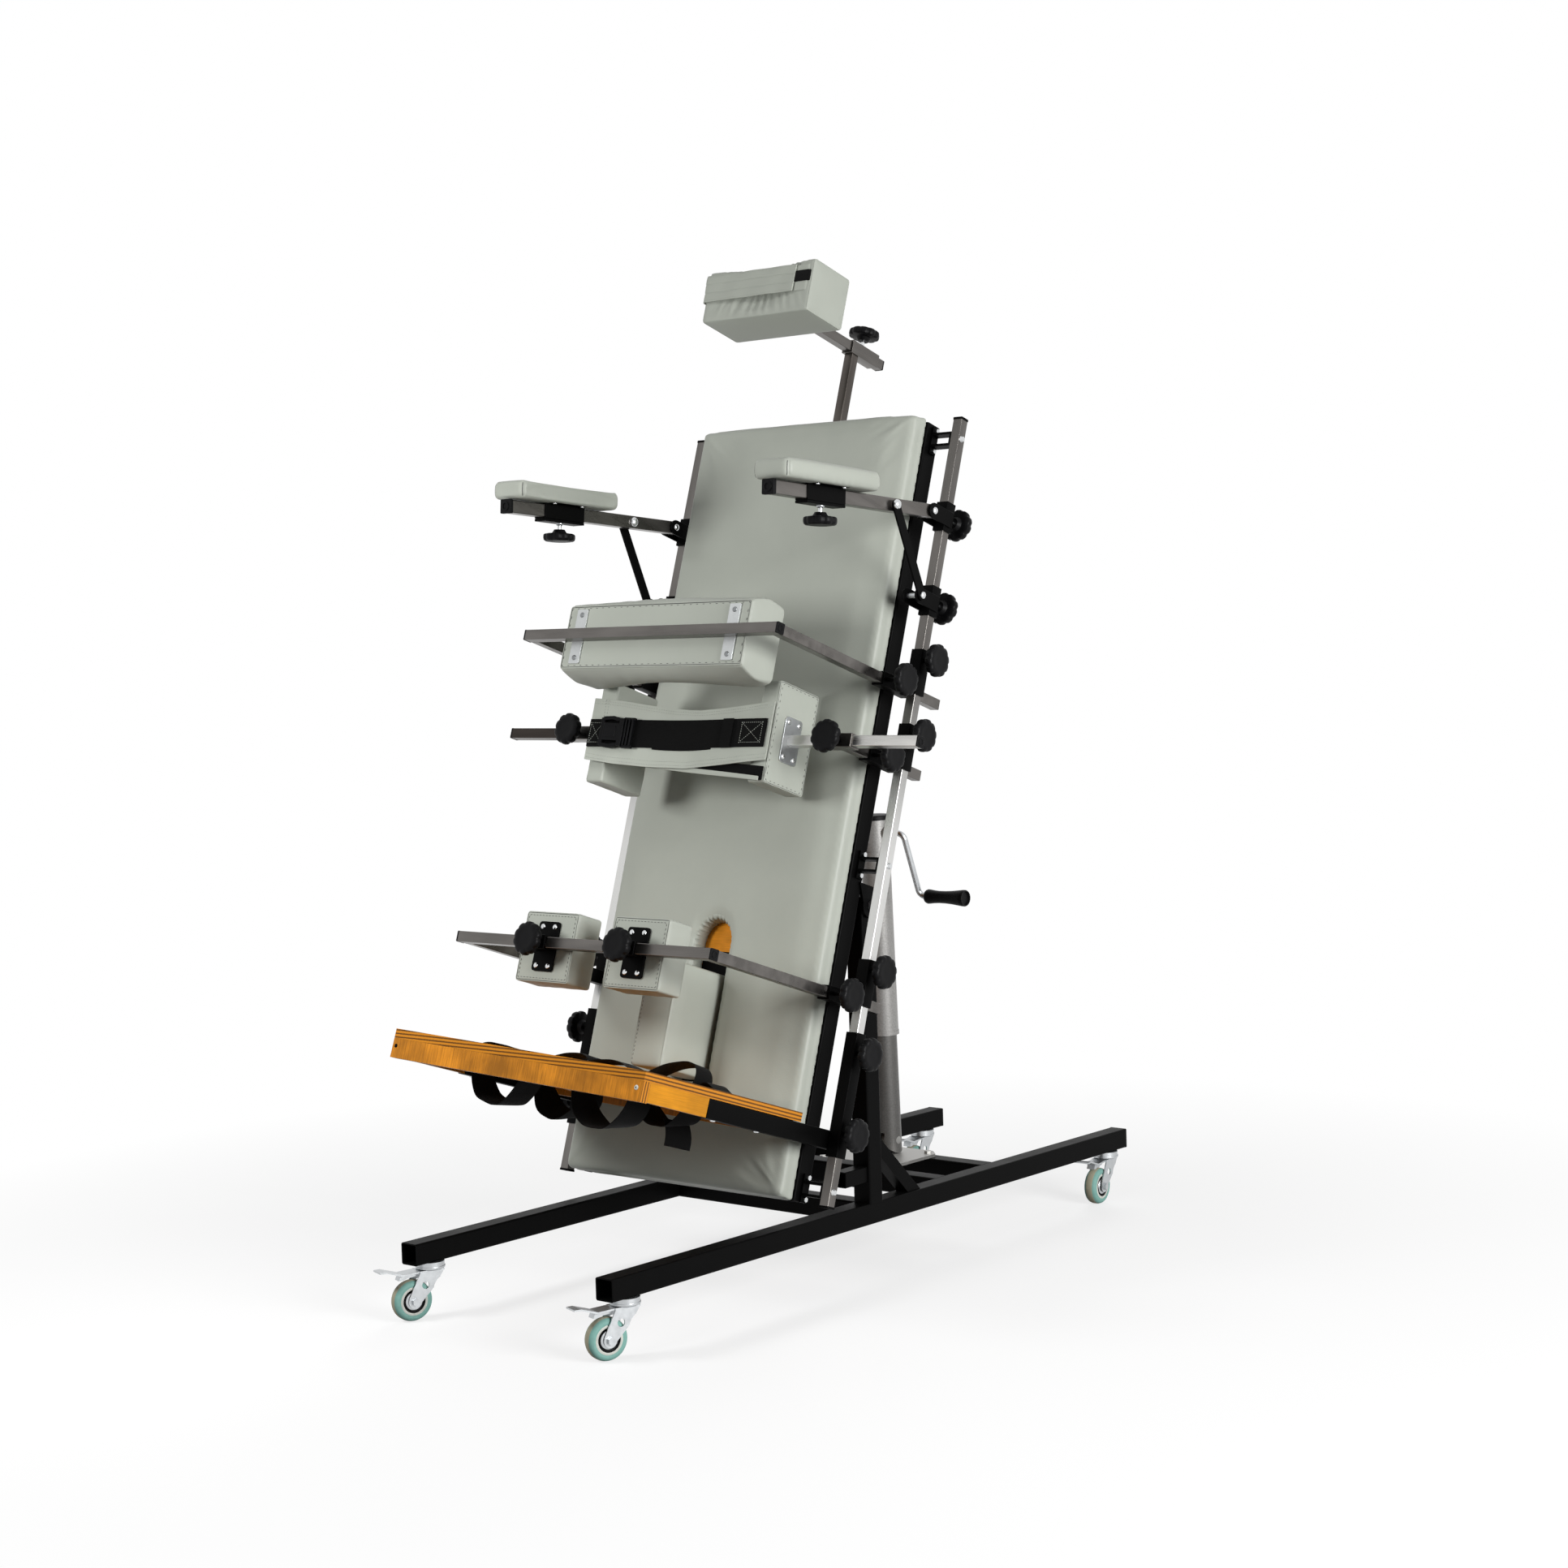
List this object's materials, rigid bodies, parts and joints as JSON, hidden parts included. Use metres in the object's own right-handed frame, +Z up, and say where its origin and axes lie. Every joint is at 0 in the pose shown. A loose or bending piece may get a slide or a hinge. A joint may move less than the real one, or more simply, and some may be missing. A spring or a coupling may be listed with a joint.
{
  "type": "rehabilitation standing frame",
  "caption": "Tilting padded standing frame on a castor base, raised by a side-wind screw jack, with sliding head, arm, chest, hip, knee and foot supports.",
  "frame": {"origin": "floor level at the middle of the footprint, between the base rails", "axes": "+Z up, +Y towards the back of the base where the jack stands, +X to the right seen from the front"},
  "size_m": [0.98, 1.6386, 1.9241],
  "materials": {
    "black_steel": "satin black powder coat",
    "black_plastic": "moulded black",
    "stainless": "brushed",
    "zinc": "bright zinc plate",
    "tyre": "grey-green rubber",
    "vinyl": "coated upholstery fabric",
    "plywood": "varnished plywood",
    "webbing": "woven webbing"
  },
  "bodies": {
    "base": {"base_frame": "black_steel", "base_caps": "black_plastic", "jack_plate": "zinc", "pivot_bolts": "zinc"},
    "castor_fl": {"castor_fork_fl": "zinc"},
    "wheel_fl": {"castor_wheel_fl": "tyre"},
    "castor_fr": {"castor_fork_fr": "zinc"},
    "wheel_fr": {"castor_wheel_fr": "tyre"},
    "castor_rl": {"castor_fork_rl": "zinc"},
    "wheel_rl": {"castor_wheel_rl": "tyre"},
    "castor_rr": {"castor_fork_rr": "zinc"},
    "wheel_rr": {"castor_wheel_rr": "tyre"},
    "table": {"table_frame": "black_steel", "table_board": "plywood", "table_cushion": "vinyl", "abduction_block": "vinyl", "side_rails": "stainless", "rail_brackets": "black_steel", "table_bolts": "zinc"},
    "jack_ram": {"jack_ram": "zinc"},
    "jack_tube": {"jack_tube": "zinc"},
    "crank": {"crank": "zinc"},
    "grip": {"crank_grip": "black_plastic"},
    "head_post": {"head_post": "stainless"},
    "head": {"head_bar": "stainless", "head_pad": "vinyl", "head_strap": "vinyl"},
    "arm_clamp_l": {"arm_clamp_l": "black_steel"},
    "arm_l": {"arm_bar_l": "stainless"},
    "arm_carriage_l": {"arm_carriage_l": "black_steel", "arm_pad_l": "vinyl"},
    "arm_foot_l": {"arm_foot_l": "black_steel"},
    "arm_strut_l": {"arm_strut_l": "black_steel"},
    "arm_clamp_r": {"arm_clamp_r": "black_steel"},
    "arm_r": {"arm_bar_r": "stainless"},
    "arm_carriage_r": {"arm_carriage_r": "black_steel", "arm_pad_r": "vinyl"},
    "arm_foot_r": {"arm_foot_r": "black_steel"},
    "arm_strut_r": {"arm_strut_r": "black_steel"},
    "chest_clamps": {"chest_clamps": "black_steel"},
    "chest": {"chest_bar": "stainless", "chest_pad": "vinyl"},
    "hip_clamps": {"hip_clamps": "black_steel"},
    "hip_arms": {"hip_arms": "stainless", "hip_belt": "vinyl", "hip_buckle": "black_plastic"},
    "hip_l": {"hip_bar_l": "stainless", "hip_pad_l": "vinyl"},
    "hip_r": {"hip_bar_r": "stainless", "hip_pad_r": "vinyl"},
    "knee_clamps": {"knee_clamps": "black_steel"},
    "knee": {"knee_bar": "stainless"},
    "knee_l": {"knee_holder_l": "black_steel", "knee_pad_l": "vinyl"},
    "knee_r": {"knee_holder_r": "black_steel", "knee_pad_r": "vinyl"},
    "foot": {"foot_arms": "black_steel", "foot_board": "plywood", "foot_straps": "webbing"}
  },
  "joints": [
    {"name": "castor_fl_swivel", "type": "hinge", "parent": "base", "child": "castor_fl", "pos_m": [-0.2425, -0.71573, 0.105], "axis": [0, 0, 1], "continuous": true},
    {"name": "wheel_fl_roll", "type": "hinge", "parent": "castor_fl", "child": "wheel_fl", "pos_m": [-0.2552, -0.7526, 0.0375], "axis": [0.9455, -0.3256, 0], "continuous": true},
    {"name": "castor_fr_swivel", "type": "hinge", "parent": "base", "child": "castor_fr", "pos_m": [0.2425, -0.71573, 0.105], "axis": [0, 0, 1], "continuous": true},
    {"name": "wheel_fr_roll", "type": "hinge", "parent": "castor_fr", "child": "wheel_fr", "pos_m": [0.2298, -0.7526, 0.0375], "axis": [0.9455, -0.3256, 0], "continuous": true},
    {"name": "castor_rl_swivel", "type": "hinge", "parent": "base", "child": "castor_rl", "pos_m": [-0.2425, 0.76627, 0.105], "axis": [0, 0, 1], "continuous": true},
    {"name": "wheel_rl_roll", "type": "hinge", "parent": "castor_rl", "child": "wheel_rl", "pos_m": [-0.2391, 0.72742, 0.0375], "axis": [0.9962, 0.0872, 0], "continuous": true},
    {"name": "castor_rr_swivel", "type": "hinge", "parent": "base", "child": "castor_rr", "pos_m": [0.2425, 0.76627, 0.105], "axis": [0, 0, 1], "continuous": true},
    {"name": "wheel_rr_roll", "type": "hinge", "parent": "castor_rr", "child": "wheel_rr", "pos_m": [0.2459, 0.72742, 0.0375], "axis": [0.9962, 0.0872, 0], "continuous": true},
    {"name": "table_tilt", "type": "hinge", "parent": "base", "child": "table", "pos_m": [0, -0.04373, 0.707], "axis": [-1, 0, 0], "range_deg": [-8, 35]},
    {"name": "jack_swing", "type": "hinge", "parent": "base", "child": "jack_ram", "pos_m": [0, 0.33527, 0.1775], "axis": [1, 0, 0], "range_deg": [-2, 2]},
    {"name": "jack_slide", "type": "slide", "parent": "jack_ram", "child": "jack_tube", "axis": [0, -0.0297, 0.9996], "range_m": [-0.1925, 0.0445]},
    {"name": "crank_turn", "type": "hinge", "parent": "jack_tube", "child": "crank", "pos_m": [0, 0.31652, 0.80922], "axis": [1, 0, 0], "continuous": true},
    {"name": "grip_spin", "type": "hinge", "parent": "crank", "child": "grip", "pos_m": [0.13, 0.36705, 0.67759], "axis": [1, 0, 0], "continuous": true},
    {"name": "head_height", "type": "slide", "parent": "table", "child": "head_post", "axis": [0, 0.3148, 0.9492], "range_m": [-0.06, 0.04]},
    {"name": "head_depth", "type": "slide", "parent": "head_post", "child": "head", "axis": [0, -0.9492, 0.3148], "range_m": [-0.08, 0.05]},
    {"name": "arm_l_height", "type": "slide", "parent": "table", "child": "arm_clamp_l", "axis": [0, 0.3148, 0.9492], "range_m": [-0.01, 0.1]},
    {"name": "arm_l_lift", "type": "hinge", "parent": "arm_clamp_l", "child": "arm_l", "pos_m": [-0.327, 0.0897, 1.44045], "axis": [-1, 0, 0], "range_deg": [-10, 20]},
    {"name": "arm_l_reach", "type": "slide", "parent": "arm_l", "child": "arm_carriage_l", "axis": [0, -0.9968, 0.0793], "range_m": [-0.05, 0.05]},
    {"name": "arm_l_foot", "type": "slide", "parent": "arm_clamp_l", "child": "arm_foot_l", "axis": [0, 0.3148, 0.9492], "range_m": [-0.024, 0.0475]},
    {"name": "arm_l_strut", "type": "hinge", "parent": "arm_foot_l", "child": "arm_strut_l", "pos_m": [-0.347, 0.03839, 1.28258], "axis": [-1, 0, 0], "range_deg": [-3, 2]},
    {"name": "arm_r_height", "type": "slide", "parent": "table", "child": "arm_clamp_r", "axis": [0, 0.3148, 0.9492], "range_m": [-0.01, 0.1]},
    {"name": "arm_r_lift", "type": "hinge", "parent": "arm_clamp_r", "child": "arm_r", "pos_m": [0.327, 0.0897, 1.44045], "axis": [-1, 0, 0], "range_deg": [-10, 20]},
    {"name": "arm_r_reach", "type": "slide", "parent": "arm_r", "child": "arm_carriage_r", "axis": [0, -0.9968, 0.0793], "range_m": [-0.05, 0.05]},
    {"name": "arm_r_foot", "type": "slide", "parent": "arm_clamp_r", "child": "arm_foot_r", "axis": [0, 0.3148, 0.9492], "range_m": [-0.024, 0.0475]},
    {"name": "arm_r_strut", "type": "hinge", "parent": "arm_foot_r", "child": "arm_strut_r", "pos_m": [0.347, 0.03839, 1.28258], "axis": [-1, 0, 0], "range_deg": [-3, 2]},
    {"name": "chest_height", "type": "slide", "parent": "table", "child": "chest_clamps", "axis": [0, 0.3148, 0.9492], "range_m": [-0.03, 0.03]},
    {"name": "chest_depth", "type": "slide", "parent": "chest_clamps", "child": "chest", "axis": [0, -0.9492, 0.3148], "range_m": [-0.012, 0.06]},
    {"name": "hip_height", "type": "slide", "parent": "table", "child": "hip_clamps", "axis": [0, 0.3148, 0.9492], "range_m": [-0.15, 0.01]},
    {"name": "hip_depth", "type": "slide", "parent": "hip_clamps", "child": "hip_arms", "axis": [0, -0.9492, 0.3148], "range_m": [-0.025, 0.012]},
    {"name": "hip_l_width", "type": "slide", "parent": "hip_arms", "child": "hip_l", "axis": [-1, 0, 0], "range_m": [-0.02, 0.04]},
    {"name": "hip_r_width", "type": "slide", "parent": "hip_arms", "child": "hip_r", "axis": [1, 0, 0], "range_m": [-0.02, 0.04]},
    {"name": "knee_height", "type": "slide", "parent": "table", "child": "knee_clamps", "axis": [0, 0.3148, 0.9492], "range_m": [-0.015, 0.13]},
    {"name": "knee_depth", "type": "slide", "parent": "knee_clamps", "child": "knee", "axis": [0, -0.9492, 0.3148], "range_m": [-0.08, 0.04]},
    {"name": "knee_l_width", "type": "slide", "parent": "knee", "child": "knee_l", "axis": [-1, 0, 0], "range_m": [-0.03, 0.06]},
    {"name": "knee_r_width", "type": "slide", "parent": "knee", "child": "knee_r", "axis": [1, 0, 0], "range_m": [-0.03, 0.06]},
    {"name": "foot_height", "type": "slide", "parent": "table", "child": "foot", "axis": [0, 0.3148, 0.9492], "range_m": [-0.035, 0.025]}
  ],
  "couplings": [
    {"joint": "jack_swing", "follows": "table_tilt", "ratio": -0.054},
    {"joint": "jack_slide", "follows": "table_tilt", "m_per_rad": -0.3141},
    {"joint": "arm_l_foot", "follows": "arm_l_lift", "m_per_rad": 0.13465},
    {"joint": "arm_l_strut", "follows": "arm_l_lift", "ratio": -0.13},
    {"joint": "arm_r_foot", "follows": "arm_r_lift", "m_per_rad": 0.13465},
    {"joint": "arm_r_strut", "follows": "arm_r_lift", "ratio": -0.13}
  ]
}
